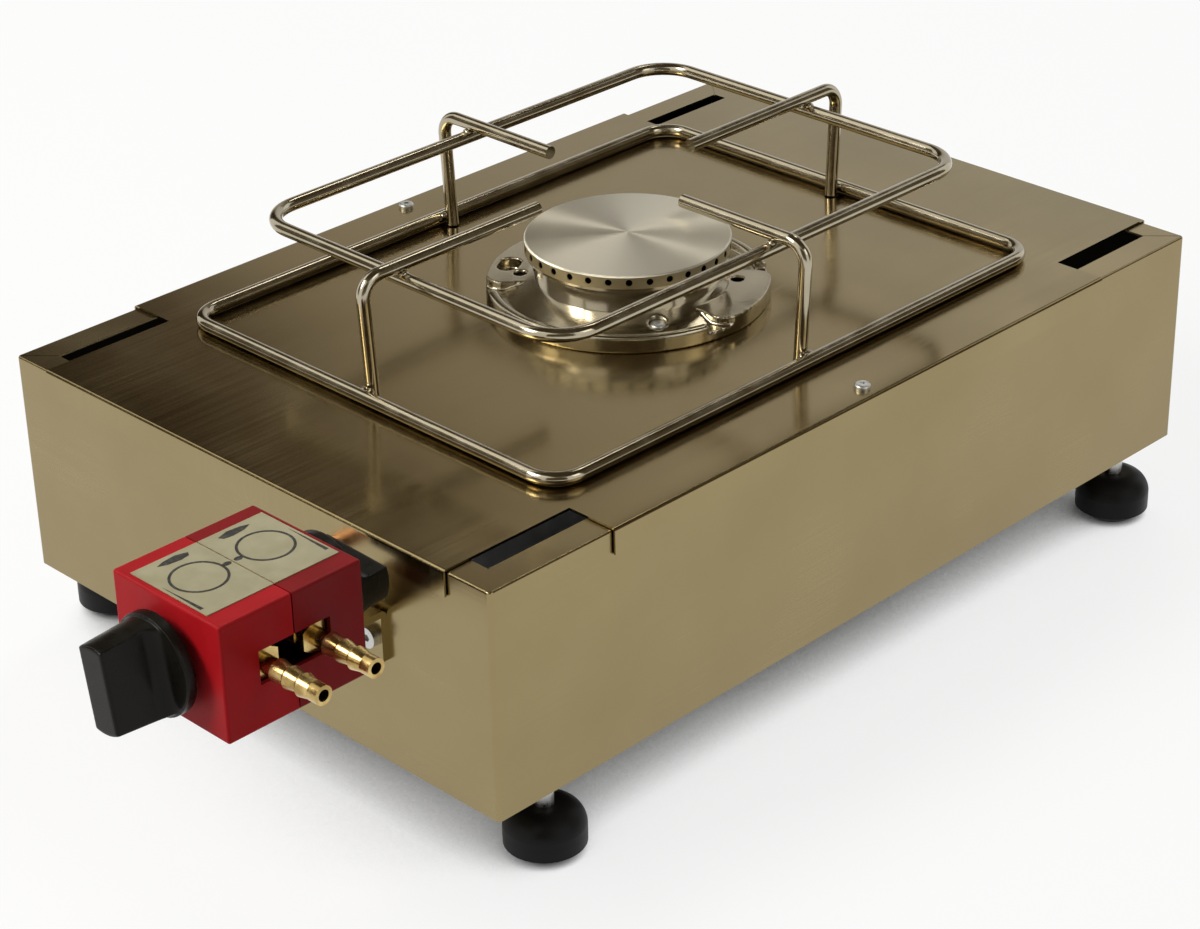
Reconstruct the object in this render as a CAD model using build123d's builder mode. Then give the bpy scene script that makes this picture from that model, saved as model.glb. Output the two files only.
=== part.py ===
from build123d import *
import math
import os

# Single-burner gas hot plate: a folded stainless casing on four rubber feet, a notched
# lid, a cast burner with a ported cap, a loose wire pan support, and a red block with two
# gas taps that stands off the front wall. Millimetres, +Z up, front towards -Y, and the
# origin on the floor under the middle of the whole object's outer box.

# ---------------------------------------------------------------- driving dimensions
sheet = 1.2                   # stainless sheet of the casing and the lid

casing_width = 300.0
casing_length = 444.6
casing_height = 103.7
casing_corner = 2.0           # upright bends
casing_edge = 1.0             # rolled edge round the top
side_flange = 14.0            # inward top flange on the long sides
end_flange = 12.5             # inward top flange at front and rear
foot_flange = 22.0            # inward bottom flange that the feet screw into
floor_gap = 32.3              # floor to the casing's underside
mitre_width = 0.4
mitre_depth = 0.5

lid_clearance = 0.3           # lip to casing wall
lip_depth = 11.7              # lid top to the lip's lower edge
lid_edge = 1.6                # folded edge
notch_from_side = 25.2        # corner notch, in from the lid's long side
notch_from_end = 67.0         # corner notch, in from the lid's end

lid_screw_inset = 7.0         # screw centre to the casing's outer face
lid_screw_radius = 2.0
lid_screw_head_radius = 3.6
lid_screw_head_height = 2.2
lid_screw_recess = 2.0        # across the flats of the driver recess
lid_nut_flats = 7.0
lid_nut_height = 3.2
hole_clearance = 0.2          # round a fixed screw or pipe
running_clearance = 0.05      # round what turns, slides or is screwed in

wire = 6.0                    # pan support wire, diameter
weld_gap = 0.05               # between two wires where they are welded
rest_gap = 0.3                # under what lies loose on another piece
support_x = -1.5              # the loose support lies a little off centre
support_y = 0.5
lower_loop_width = 231.0      # between wire centres
lower_loop_length = 305.0
lower_loop_corner = 14.0
upper_loop_width = 188.0
upper_loop_length = 255.0
upper_loop_corner = 20.0
finger_height = 55.3          # lid top to a finger's centre line
finger_bend = 9.0
leg_lean = 3.0                # outward, over the leg's height
side_finger_tip = 41.0        # tip to the support's centre
end_finger_tip = 48.0

burner_x = 3.5
burner_y = 2.5
dish_radius = 64.0
dish_floor_height = 4.2
dish_slope = 14.0             # width of the rise from the dish floor to the collar's seat
underside_hollow = 2.0        # depth
rim_height = 8.0
rim_width = 4.6
rim_round = 1.5
rim_gap_angle = 7.0           # between a rim's end and the pad
pad_angle = 22.0              # direction of the right pad
pad_half_angle = 27.5
pad_corner = 8.0
pad_hole_radius = 3.0
pad_hole_circle = 49.0
pad_hole_angle = 16.5         # from the pad's middle
electrode_pocket_width = 14.0
electrode_pocket_length = 10.0
electrode_pocket_circle = 56.0
electrode_pocket_angle = 7.0  # from the left pad's middle
electrode_pocket_floor = 2.6
neck_radius = 30.0            # spigot through the lid
neck_length = 3.2
collar_foot_radius = 42.0
collar_top_radius = 44.2
collar_seat_height = 9.5
collar_height = 12.8
collar_flange = 1.3           # thickness
collar_flange_reach = 1.4     # beyond the collar's top
collar_floor = 3.5
collar_well_radius = 38.0
cap_radius = 46.4
cap_skirt_wall = 3.2
cap_skirt_height = 6.0
cap_crown = 0.9
cap_thickness = 2.3
cap_edge = 0.7
cap_ring_wall = 2.0
cap_ring_depth = 7.3
cap_ring_clearance = 0.4
cap_ring_slots = 8
cap_ring_slot_width = 12.0
port_count = 32
port_radius = 1.5
port_height = 3.0             # skirt edge up to the port centres
burner_screw_circle = 48.5
burner_screw_angle = -30.5
burner_screw_radius = 2.0
burner_screw_head_radius = 3.6
burner_screw_head_height = 2.4
burner_screw_end = 2.0        # beyond the injector holder's ring

tube_radius = 16.0            # mixing tube, outside
tube_wall = 2.0
tube_throat_radius = 9.0
tube_flange_radius = 19.0
tube_flange = 2.0
tube_drop = 11.0              # below the lid's underside
tube_mouth = 5.0              # height of the flared mouth
holder_ring_radius = 54.0
holder_ring_clearance = 1.0   # round the neck
holder_ring_thickness = 3.5
holder_hub_radius = 11.0
holder_hub_rise = 6.0         # above the gas pipe's centre line
holder_hub_drop = 7.0
holder_boss_length = 20.0     # hub centre to the boss end
holder_arms = 3
holder_arm_width = 8.0
holder_arm_thickness = 4.0
holder_arm_reach = 44.0
jet_shank_radius = 3.0
jet_shank_length = 4.0
jet_flats = 10.0
jet_flat_height = 3.0
jet_radius = 4.0
jet_length = 8.0              # above the hub
jet_taper = 18.0              # degrees
jet_bore = 0.6

block_width = 62.4
block_length = 67.3
block_height = 49.8
block_x = 89.1
block_standoff = 36.0         # casing wall to the block's rear face
block_rise = 18.6             # block top above the casing's top
cover_wall = 2.0
cover_edge = 1.2
seam_gap = 0.6
slot_height = 14.4
slot_half_length = 17.0
slot_rise = 0.6               # slot centre above the block's middle
elbow_hole_clearance = 1.5
legend_left = 8.0             # legend plate edge to the block's left face
legend_right = 9.6
legend_end = 2.5
legend_thickness = 0.4

tap_pitch_half = 12.5         # hose barb to the seam
tap_seam_gap = 3.0
tap_body_radius = 10.6
tap_body_length = 26.0
tap_foot_width = 14.0
tap_foot_length = 18.0
tap_foot_drop = 11.0          # tap axis to the manifold
tap_neck_radius = 7.0
tap_neck_clearance = 0.3      # to the cover
tap_boss_radius = 7.0
tap_boss_reach = 23.5
plug_radius = 6.0
plug_length = 18.0
plug_cover = 3.0              # body beyond the plug's outer end
spindle_radius = 3.0
spindle_flat = 0.8
spindle_in_plug = 5.5
spindle_spare = 1.0           # left below the spindle when it is pushed in
push_travel = 3.0
gas_way_radius = 2.4
plug_port_radius = 2.0        # hole in the plug's side
feed_radius = 1.6
feed_offset = 6.2             # from the seam
chamber_radius = 3.5
chamber_wall = 1.0            # between the gas chamber and the body's inner end

knob_gap = 4.0                # cover face to the knob's back
knob_radius = 20.8
front_knob_depth = 28.8
front_knob_turn = 9.0         # grip bar away from upright, degrees
rear_knob_depth = 20.0        # shorter, to leave room for fingers at the wall
rear_knob_turn = 92.0
knob_skirt = 4.5
knob_ledge = 1.2              # how far the grip stands in from the skirt
knob_draft = 4.0              # degrees
knob_bar = 14.0
knob_scoop = 6.0              # radius where the grip bar meets the skirt
knob_edge = 1.0
knob_recess = 2.8
knob_wall = 2.4
knob_hub_radius = 6.0
knob_bore_depth = 12.0

manifold_width = 34.0
manifold_length = 36.0
manifold_left = 24.5          # tap axis to the manifold's left end
fitting_radius = 5.5
fitting_bore = 3.0
elbow_out = 11.0              # cover's left face to the elbow's centre line
elbow_bend = 7.0
elbow_length = 16.0
pipe_radius = 4.0
pipe_wall = 0.8
pipe_bend = 22.0
pipe_turn_y = -75.0
pipe_join_y = -45.0
pipe_nut_flats = 14.0
pipe_nut_on_fitting = 6.0
pipe_nut_on_pipe = 4.0
grommet_radius = 8.5
grommet_groove_radius = 6.3
grommet_lip = 1.5

barb_hex_flats = 13.0
barb_hex_length = 5.0
barb_thread_radius = 4.0
barb_thread_length = 8.0
barb_reach = 30.2             # tip beyond the cover's right face
barb_stem_radius = 3.7
barb_crest_radius = 4.8
barb_rings = 3
barb_ring_pitch = 7.2
barb_ring_length = 5.6
barb_nose_radius = 4.0
barb_nose_length = 5.0

bracket_thickness = 3.0
bracket_width = 28.0
bracket_x = 75.6
bracket_front = 22.0          # in front of the seam
bracket_flange = 23.0
bracket_bend = 3.0
bracket_screw_pitch = 16.0
bracket_screw_drop = 13.0     # below the bracket's top face
bolt_radius = 2.5
bolt_head_radius = 4.5
bolt_head_height = 3.0
bolt_recess = 3.0             # across the flats of the driver recess
bracket_nut_flats = 8.0
bracket_nut_height = 4.0
bracket_screw_end = 1.5       # beyond its nut
block_bolt_offset = 11.0      # each side of the seam
block_bolt_engagement = 7.0

foot_from_side = 8.5          # foot centre to the casing's outer face
foot_from_end = 32.3
foot_radius = 17.3
foot_base_radius = 11.0
foot_height = 22.0
foot_chamfer_height = 4.5
foot_belt_height = 9.0
foot_shoulder_height = 13.0
foot_dome_radius = 14.4       # where the shoulder's arc passes
foot_dome_height = 19.0
foot_neck_radius = 7.5
stud_radius = 4.0
stud_in_foot = 13.0
stud_above_nut = 5.0
foot_nut_flats = 13.0
foot_nut_height = 6.5

# ---------------------------------------------------------------- places worked out
casing_top = floor_gap + casing_height
lid_top = casing_top + sheet
lid_width = casing_width + 2 * (lid_clearance + sheet)
lid_length = casing_length + 2 * (lid_clearance + sheet)
lip_bottom = lid_top - lip_depth
front_wall_y = -casing_length / 2
lid_screw_x = casing_width / 2 - lid_screw_inset
foot_x = casing_width / 2 - foot_from_side
foot_y = casing_length / 2 - foot_from_end

block_y = front_wall_y - block_standoff - block_length / 2
block_top = casing_top + block_rise
block_base = block_top - block_height
block_z = block_top - block_height / 2
block_left = block_x - block_width / 2
block_right = block_x + block_width / 2
front_reach = -block_y + block_length / 2 + knob_gap + front_knob_depth
casing_y = (front_reach - lid_length / 2) / 2      # centres the outer box on the origin

lower_loop_z = lid_top + rest_gap + wire / 2
finger_z = lid_top + finger_height
upper_loop_z = finger_z - wire - weld_gap
cap_base_height = collar_seat_height + collar_height + rest_gap

cover_end = block_length / 2                       # from the seam, along a tap's axis
tap_body_end = tap_seam_gap + tap_body_length
plug_end = tap_body_end - plug_cover
plug_start = plug_end - plug_length
knob_back = cover_end + knob_gap
boss_end_x = block_x + tap_boss_reach
manifold_top = block_z - tap_foot_drop
manifold_base = block_base + cover_wall
manifold_end_x = block_x - manifold_left
pipe_z = (manifold_top + manifold_base) / 2
elbow_x = block_left - elbow_out
fitting_y = block_y + elbow_length
hub_fitting_y = burner_y - holder_boss_length
bracket_base = block_base - bracket_thickness
bracket_screw_z = block_base - bracket_screw_drop


# ---------------------------------------------------------------- planes and helpers
def level(height, x=0.0, y=0.0):
    """Level plane, with x and y measured from the middle of the casing."""
    return Plane(origin=(x, casing_y + y, height))


def facing_front(x, y, height):
    """Upright plane that looks out of the front: its X runs right, its Y runs up."""
    return Plane(origin=(x, casing_y + y, height), x_dir=(1, 0, 0), z_dir=(0, -1, 0))


def facing_rear(x, y, height):
    """Upright plane that looks out of the rear: its X runs left, its Y runs up."""
    return Plane(origin=(x, casing_y + y, height), x_dir=(-1, 0, 0), z_dir=(0, 1, 0))


def facing_right(x, y, height):
    """Upright plane that looks to the right: its X runs rearwards, its Y runs up."""
    return Plane(origin=(x, casing_y + y, height), x_dir=(0, 1, 0), z_dir=(1, 0, 0))


def half_section(base):
    """Plane through the upright of base: its X is the radius, its Y the height."""
    return Plane(origin=base.origin, x_dir=base.x_dir, z_dir=-base.y_dir)


def turned(base, angle):
    """The same plane with its X turned about its upright, in degrees."""
    return Plane(base.location * Rotation(0, 0, angle))


def turned_profile(base, points, mode=Mode.ADD):
    """Turn a closed outline of (radius, height) points about the upright of base."""
    with BuildSketch(half_section(base)) as profile:
        with BuildLine():
            Polyline(*points, close=True)
        make_face()
    revolve(profile.sketch, axis=Axis(base.origin, base.z_dir), mode=mode)


def hexagon(flats, rotation=0.0):
    """Hexagon sketched by its size across flats."""
    RegularPolygon(flats / 2, 6, major_radius=False, rotation=rotation)


def on_circle(radius, angle):
    """Point on a circle round the sketch's origin."""
    return (radius * math.cos(math.radians(angle)), radius * math.sin(math.radians(angle)))


os.makedirs("parts", exist_ok=True)


def save(piece, name):
    """Label a finished piece and write its STEP file."""
    piece.part.label = name
    export_step(piece.part, f"parts/{name}.step")


# ---------------------------------------------------------------- casing
mitre_slope = math.degrees(math.atan2(end_flange, side_flange))
mitre_length = math.hypot(side_flange, end_flange) + 2 * mitre_width
mitre_x = (casing_width - side_flange) / 2
mitre_y = (casing_length - end_flange) / 2

with BuildPart() as casing:
    with BuildSketch(level(floor_gap)):
        RectangleRounded(casing_width, casing_length, casing_corner)
    extrude(amount=casing_height)
    fillet(casing.faces().sort_by(Axis.Z)[-1].edges(), casing_edge)
    with BuildSketch(level(floor_gap + sheet)):
        RectangleRounded(casing_width - 2 * sheet, casing_length - 2 * sheet, casing_corner / 2)
    extrude(amount=casing_height - 2 * sheet, mode=Mode.SUBTRACT)
    with BuildSketch(level(floor_gap)):
        Rectangle(casing_width - 2 * foot_flange, casing_length - 2 * foot_flange)
    extrude(amount=sheet, mode=Mode.SUBTRACT)
    with BuildSketch(level(casing_top - sheet)):
        Rectangle(casing_width - 2 * side_flange, casing_length - 2 * end_flange)
    extrude(amount=sheet, mode=Mode.SUBTRACT)
    with BuildSketch(level(casing_top)):
        for side in (-1, 1):
            for end in (-1, 1):
                with Locations((side * mitre_x, end * mitre_y)):
                    Rectangle(mitre_length, mitre_width, rotation=side * end * mitre_slope)
    extrude(amount=-mitre_depth, mode=Mode.SUBTRACT)
    with BuildSketch(level(casing_top)):
        with GridLocations(2 * lid_screw_x, 0, 2, 1):
            Circle(lid_screw_radius + hole_clearance)
    extrude(amount=-sheet, mode=Mode.SUBTRACT)
    with BuildSketch(level(floor_gap)):
        with GridLocations(2 * foot_x, 2 * foot_y, 2, 2):
            Circle(stud_radius + hole_clearance)
    extrude(amount=sheet, mode=Mode.SUBTRACT)
    with BuildSketch(facing_front(bracket_x, front_wall_y, bracket_screw_z)):
        with GridLocations(bracket_screw_pitch, 0, 2, 1):
            Circle(bolt_radius + hole_clearance)
    extrude(amount=-sheet, mode=Mode.SUBTRACT)
    with BuildSketch(facing_front(elbow_x, front_wall_y, pipe_z)):
        Circle(grommet_groove_radius + hole_clearance)
    extrude(amount=-sheet, mode=Mode.SUBTRACT)
save(casing, "casing")

# ---------------------------------------------------------------- lid
burner_screw_spots = [
    on_circle(burner_screw_circle, burner_screw_angle),
    on_circle(burner_screw_circle, burner_screw_angle + 180),
]

with BuildPart() as lid:
    with BuildSketch(level(lip_bottom)):
        Rectangle(lid_width, lid_length)
    extrude(amount=lip_depth)
    fillet(lid.faces().sort_by(Axis.Z)[-1].edges(), lid_edge)
    with BuildSketch(level(lip_bottom)):
        Rectangle(lid_width - 2 * sheet, lid_length - 2 * sheet)
    extrude(amount=lip_depth - sheet, mode=Mode.SUBTRACT)
    with BuildSketch(level(lip_bottom)):
        with GridLocations(lid_width, lid_length, 2, 2):
            Rectangle(2 * notch_from_side, 2 * notch_from_end)
    extrude(amount=lip_depth, mode=Mode.SUBTRACT)
    with BuildSketch(level(casing_top, burner_x, burner_y)):
        Circle(neck_radius + hole_clearance)
        with Locations(*burner_screw_spots):
            Circle(burner_screw_radius + hole_clearance)
    extrude(amount=sheet, mode=Mode.SUBTRACT)
    with BuildSketch(level(casing_top)):
        with GridLocations(2 * lid_screw_x, 0, 2, 1):
            Circle(lid_screw_radius + hole_clearance)
    extrude(amount=sheet, mode=Mode.SUBTRACT)
save(lid, "lid")

# ---------------------------------------------------------------- lid screws
with BuildPart() as lid_screws:
    with BuildSketch(level(lid_top)):
        with GridLocations(2 * lid_screw_x, 0, 2, 1):
            Circle(lid_screw_head_radius)
    extrude(amount=lid_screw_head_height)
    fillet(lid_screws.faces().filter_by(Axis.Z).group_by(Axis.Z)[-1].edges(),
           lid_screw_head_height / 2)
    with BuildSketch(level(lid_top)):
        with GridLocations(2 * lid_screw_x, 0, 2, 1):
            Circle(lid_screw_radius)
    extrude(amount=-(2 * sheet + lid_nut_height))
    with BuildSketch(level(lid_top + lid_screw_head_height)):
        with GridLocations(2 * lid_screw_x, 0, 2, 1):
            hexagon(lid_screw_recess)
    extrude(amount=-lid_screw_head_height / 2, mode=Mode.SUBTRACT)
save(lid_screws, "lid_screws")

# ---------------------------------------------------------------- lid nuts
with BuildPart() as lid_nuts:
    with BuildSketch(level(casing_top - sheet)):
        with GridLocations(2 * lid_screw_x, 0, 2, 1):
            hexagon(lid_nut_flats, rotation=30)
            Circle(lid_screw_radius + running_clearance, mode=Mode.SUBTRACT)
    extrude(amount=-lid_nut_height)
save(lid_nuts, "lid_nuts")


# ---------------------------------------------------------------- pan support
def wire_loop(width, length, corner, height):
    """Closed rounded rectangle of wire, sized between wire centres."""
    with BuildPart() as loop:
        with BuildSketch(level(height, support_x, support_y), mode=Mode.PRIVATE) as outline:
            RectangleRounded(width, length, corner)
        path = outline.sketch.face().outer_wire()
        with BuildSketch(Plane(origin=path @ 0, z_dir=path % 0)):
            Circle(wire / 2)
        sweep(path=path)
    return loop


def wire_finger(angle, loop_distance, tip_distance):
    """Leg that leans against the lower loop from inside and bends in over the upper loop."""
    leg_base = lid_top + 2 * rest_gap
    lean_at_loop = leg_lean * (lower_loop_z - leg_base) / (finger_z - leg_base)
    leg_distance = loop_distance - wire - weld_gap - lean_at_loop
    heading = (math.cos(math.radians(angle)), math.sin(math.radians(angle)), 0)
    across = (heading[1], -heading[0], 0)
    upright = Plane(origin=(support_x, casing_y + support_y, 0), x_dir=heading, z_dir=across)
    with BuildPart() as finger:
        with BuildLine(upright) as path:
            FilletPolyline(
                (leg_distance, leg_base),
                (leg_distance + leg_lean, finger_z),
                (tip_distance, finger_z),
                radius=finger_bend,
            )
        with BuildSketch(Plane(origin=path.line @ 0, z_dir=path.line % 0)):
            Circle(wire / 2)
        sweep(path=path.line)
    return finger


lower_loop = wire_loop(lower_loop_width, lower_loop_length, lower_loop_corner, lower_loop_z)
save(lower_loop, "support_lower_loop")
upper_loop = wire_loop(upper_loop_width, upper_loop_length, upper_loop_corner, upper_loop_z)
save(upper_loop, "support_upper_loop")

save(wire_finger(0, lower_loop_width / 2, side_finger_tip), "support_finger_right")
save(wire_finger(90, lower_loop_length / 2, end_finger_tip), "support_finger_rear")
save(wire_finger(180, lower_loop_width / 2, side_finger_tip), "support_finger_left")
save(wire_finger(270, lower_loop_length / 2, end_finger_tip), "support_finger_front")

# ---------------------------------------------------------------- burner base
on_lid = level(lid_top, burner_x, burner_y)
rim_start_angle = pad_half_angle + rim_gap_angle
seat_radius = tube_flange_radius + hole_clearance
pocket_angle = pad_angle + 180 + electrode_pocket_angle


def ring_sector(inner, outer, middle, half_angle):
    """Ring sector between two radii, half_angle each side of its middle direction."""
    with BuildLine() as outline:
        outer_arc = CenterArc((0, 0), outer, middle - half_angle, 2 * half_angle)
        inner_arc = CenterArc((0, 0), inner, middle - half_angle, 2 * half_angle)
        Line(outer_arc @ 0, inner_arc @ 0)
        Line(outer_arc @ 1, inner_arc @ 1)
    make_face(outline.edges())


with BuildPart() as burner_base:
    turned_profile(on_lid, [
        (tube_radius + hole_clearance, -neck_length),
        (neck_radius, -neck_length),
        (neck_radius, underside_hollow),
        (dish_radius - rim_width, underside_hollow),
        (dish_radius - rim_width, 0),
        (dish_radius, 0),
        (dish_radius, dish_floor_height),
        (collar_foot_radius + dish_slope, dish_floor_height),
        (collar_foot_radius, collar_seat_height),
        (seat_radius, collar_seat_height),
        (seat_radius, collar_seat_height - tube_flange),
        (tube_radius + hole_clearance, collar_seat_height - tube_flange),
    ])
    for rim_start in (pad_angle + rim_start_angle, pad_angle + rim_start_angle + 180):
        with BuildSketch(half_section(turned(on_lid, rim_start))) as rim_section:
            with Locations((dish_radius - rim_width / 2, rim_height / 2)):
                Rectangle(rim_width, rim_height)
            fillet(rim_section.vertices().group_by(Axis.Y)[-1], rim_round)
        revolve(axis=Axis(on_lid.origin, on_lid.z_dir), revolution_arc=180 - 2 * rim_start_angle)
    for pad_middle in (pad_angle, pad_angle + 180):
        with BuildSketch(on_lid) as pad_outline:
            ring_sector(collar_foot_radius, dish_radius, pad_middle, pad_half_angle)
            fillet(pad_outline.vertices().sort_by_distance((0, 0, 0))[2:], pad_corner)
        extrude(amount=rim_height)
        with BuildSketch(on_lid):
            with Locations(on_circle(pad_hole_circle, pad_middle + pad_hole_angle)):
                Circle(pad_hole_radius)
        extrude(amount=rim_height, mode=Mode.SUBTRACT)
    with BuildSketch(on_lid.offset(electrode_pocket_floor)):
        with Locations(on_circle(electrode_pocket_circle, pocket_angle)):
            SlotOverall(electrode_pocket_width, electrode_pocket_length,
                        rotation=pocket_angle + 90)
    extrude(amount=rim_height, mode=Mode.SUBTRACT)
    with BuildSketch(on_lid):
        with Locations(*burner_screw_spots):
            Circle(burner_screw_radius + hole_clearance)
    extrude(amount=collar_seat_height, mode=Mode.SUBTRACT)
    with BuildSketch(on_lid.offset(dish_floor_height)):
        with Locations(*burner_screw_spots):
            Circle(burner_screw_head_radius + hole_clearance)
    extrude(amount=collar_seat_height, mode=Mode.SUBTRACT)
save(burner_base, "burner_base")

# ---------------------------------------------------------------- burner collar
flange_under = collar_height - collar_flange
flange_radius = collar_top_radius + collar_flange_reach

with BuildPart() as burner_collar:
    turned_profile(on_lid.offset(collar_seat_height), [
        (tube_radius, 0),
        (collar_foot_radius, 0),
        (collar_top_radius, flange_under),
        (flange_radius, flange_under),
        (flange_radius, collar_height),
        (collar_well_radius, collar_height),
        (collar_well_radius, collar_floor),
        (tube_radius, collar_floor),
    ])
save(burner_collar, "burner_collar")

# ---------------------------------------------------------------- burner cap
cap_base = on_lid.offset(cap_base_height)
cap_ring_radius = collar_well_radius - cap_ring_clearance
cap_ring_inner = cap_ring_radius - cap_ring_wall
cap_inner_height = cap_skirt_height - cap_thickness


def port_plane(number):
    """Plane on the skirt's outer face, square to one gas port."""
    out = Vector(*on_circle(1, number * 360 / port_count), 0)
    return Plane(origin=cap_base.origin + out * cap_radius + (0, 0, port_height), z_dir=out)


with BuildPart() as burner_cap:
    turned_profile(cap_base, [
        (0, cap_inner_height),
        (cap_ring_inner, cap_inner_height),
        (cap_ring_inner, cap_inner_height - cap_ring_depth),
        (cap_ring_radius, cap_inner_height - cap_ring_depth),
        (cap_ring_radius, cap_inner_height),
        (cap_radius - cap_skirt_wall, cap_inner_height),
        (cap_radius - cap_skirt_wall, 0),
        (cap_radius, 0),
        (cap_radius, cap_skirt_height - cap_edge),
        (cap_radius - cap_edge, cap_skirt_height),
        (0, cap_skirt_height + cap_crown),
    ])
    with BuildSketch(cap_base.offset(cap_inner_height - cap_ring_depth)):
        with PolarLocations(cap_ring_radius, cap_ring_slots):
            Rectangle(3 * cap_ring_wall, cap_ring_slot_width)
    extrude(amount=cap_ring_depth / 2, mode=Mode.SUBTRACT)
    with BuildSketch(*[port_plane(number) for number in range(port_count)]):
        Circle(port_radius)
    extrude(amount=-cap_skirt_wall, mode=Mode.SUBTRACT)
save(burner_cap, "burner_cap")

# ---------------------------------------------------------------- mixing tube
tube_length = collar_seat_height + sheet + tube_drop
tube_bore = tube_radius - tube_wall

with BuildPart() as mixing_tube:
    turned_profile(on_lid.offset(collar_seat_height), [
        (tube_bore, 0),
        (tube_flange_radius, 0),
        (tube_flange_radius, -tube_flange),
        (tube_radius, -tube_flange),
        (tube_radius, -tube_length),
        (tube_bore, -tube_length),
        (tube_throat_radius, tube_mouth - tube_length),
    ])
save(mixing_tube, "mixing_tube")

# ---------------------------------------------------------------- injector holder
under_lid = level(casing_top, burner_x, burner_y)
hub_centre = level(pipe_z, burner_x, burner_y)
hub_top = hub_centre.offset(holder_hub_rise)
holder_arm_drop = casing_top - pipe_z + holder_arm_thickness / 2

with BuildPart() as injector_holder:
    with BuildSketch(under_lid):
        Circle(holder_ring_radius)
        Circle(neck_radius + holder_ring_clearance, mode=Mode.SUBTRACT)
    extrude(amount=-holder_ring_thickness)
    with BuildSketch(under_lid):
        with PolarLocations(holder_arm_reach - holder_arm_thickness / 2, holder_arms, 90):
            Rectangle(holder_arm_thickness, holder_arm_width)
    extrude(amount=-holder_arm_drop)
    with BuildSketch(hub_centre.offset(-holder_arm_thickness / 2)):
        with PolarLocations(holder_arm_reach / 2, holder_arms, 90):
            Rectangle(holder_arm_reach, holder_arm_width)
    extrude(amount=holder_arm_thickness)
    with BuildSketch(hub_centre.offset(-holder_hub_drop)):
        Circle(holder_hub_radius)
    extrude(amount=holder_hub_drop + holder_hub_rise)
    with BuildSketch(facing_front(burner_x, burner_y, pipe_z)):
        Circle(fitting_radius)
    extrude(amount=holder_boss_length)
    with BuildSketch(facing_front(burner_x, burner_y, pipe_z)):
        Circle(fitting_bore)
    extrude(amount=holder_boss_length, mode=Mode.SUBTRACT)
    with BuildSketch(hub_top):
        Circle(jet_shank_radius + running_clearance)
    extrude(amount=-holder_hub_rise, mode=Mode.SUBTRACT)
    with BuildSketch(under_lid):
        with Locations(*burner_screw_spots):
            Circle(burner_screw_radius + running_clearance)
    extrude(amount=-holder_ring_thickness, mode=Mode.SUBTRACT)
save(injector_holder, "injector_holder")

# ---------------------------------------------------------------- injector jet
with BuildPart() as injector_jet:
    with BuildSketch(hub_top):
        Circle(jet_shank_radius)
    extrude(amount=-jet_shank_length)
    with BuildSketch(hub_top):
        hexagon(jet_flats)
    extrude(amount=jet_flat_height)
    with BuildSketch(hub_top.offset(jet_flat_height)):
        Circle(jet_radius)
    extrude(amount=jet_length - jet_flat_height, taper=jet_taper)
    with BuildSketch(hub_top.offset(-jet_shank_length)):
        Circle(jet_shank_radius / 2)
    extrude(amount=jet_shank_length, mode=Mode.SUBTRACT)
    with BuildSketch(hub_top):
        Circle(jet_bore)
    extrude(amount=jet_length, mode=Mode.SUBTRACT)
save(injector_jet, "injector_jet")

# ---------------------------------------------------------------- burner screws
screw_seat = on_lid.offset(dish_floor_height)
burner_screw_length = dish_floor_height + sheet + holder_ring_thickness + burner_screw_end

with BuildPart() as burner_screws:
    with BuildSketch(screw_seat):
        with Locations(*burner_screw_spots):
            Circle(burner_screw_head_radius)
    extrude(amount=burner_screw_head_height)
    fillet(burner_screws.faces().filter_by(Axis.Z).group_by(Axis.Z)[-1].edges(),
           burner_screw_head_height / 2)
    with BuildSketch(screw_seat):
        with Locations(*burner_screw_spots):
            Circle(burner_screw_radius)
    extrude(amount=-burner_screw_length)
    with BuildSketch(screw_seat.offset(burner_screw_head_height)):
        with Locations(*burner_screw_spots):
            hexagon(lid_screw_recess)
    extrude(amount=-burner_screw_head_height / 2, mode=Mode.SUBTRACT)
save(burner_screws, "burner_screws")

# ---------------------------------------------------------------- gas pipe
with BuildPart() as gas_pipe:
    with BuildLine(level(pipe_z)) as pipe_route:
        FilletPolyline(
            (elbow_x, fitting_y),
            (elbow_x, pipe_turn_y),
            (burner_x, pipe_join_y),
            (burner_x, hub_fitting_y),
            radius=pipe_bend,
        )
    with BuildSketch(facing_rear(elbow_x, fitting_y, pipe_z)):
        Circle(pipe_radius)
        Circle(pipe_radius - pipe_wall, mode=Mode.SUBTRACT)
    sweep(path=pipe_route.line)
save(gas_pipe, "gas_pipe")


# ---------------------------------------------------------------- pipe nuts
def pipe_nut(joint):
    """Nut at a joint plane that faces the pipe: over the fitting behind, the pipe ahead."""
    with BuildSketch(joint.offset(-pipe_nut_on_fitting)) as over_fitting:
        hexagon(pipe_nut_flats)
        Circle(fitting_radius + running_clearance, mode=Mode.SUBTRACT)
    extrude(over_fitting.sketch, amount=pipe_nut_on_fitting)
    with BuildSketch(joint) as over_pipe:
        hexagon(pipe_nut_flats)
        Circle(pipe_radius + running_clearance, mode=Mode.SUBTRACT)
    extrude(over_pipe.sketch, amount=pipe_nut_on_pipe)


with BuildPart() as pipe_nuts:
    pipe_nut(facing_rear(elbow_x, fitting_y, pipe_z))
    pipe_nut(facing_front(burner_x, hub_fitting_y, pipe_z))
save(pipe_nuts, "pipe_nuts")

# ---------------------------------------------------------------- pipe grommet
with BuildPart() as pipe_grommet:
    turned_profile(facing_front(elbow_x, front_wall_y, pipe_z), [
        (pipe_radius + running_clearance, grommet_lip),
        (grommet_radius, grommet_lip),
        (grommet_radius, 0),
        (grommet_groove_radius, 0),
        (grommet_groove_radius, -sheet),
        (grommet_radius, -sheet),
        (grommet_radius, -sheet - grommet_lip),
        (pipe_radius + running_clearance, -sheet - grommet_lip),
    ])
save(pipe_grommet, "pipe_grommet")

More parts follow.
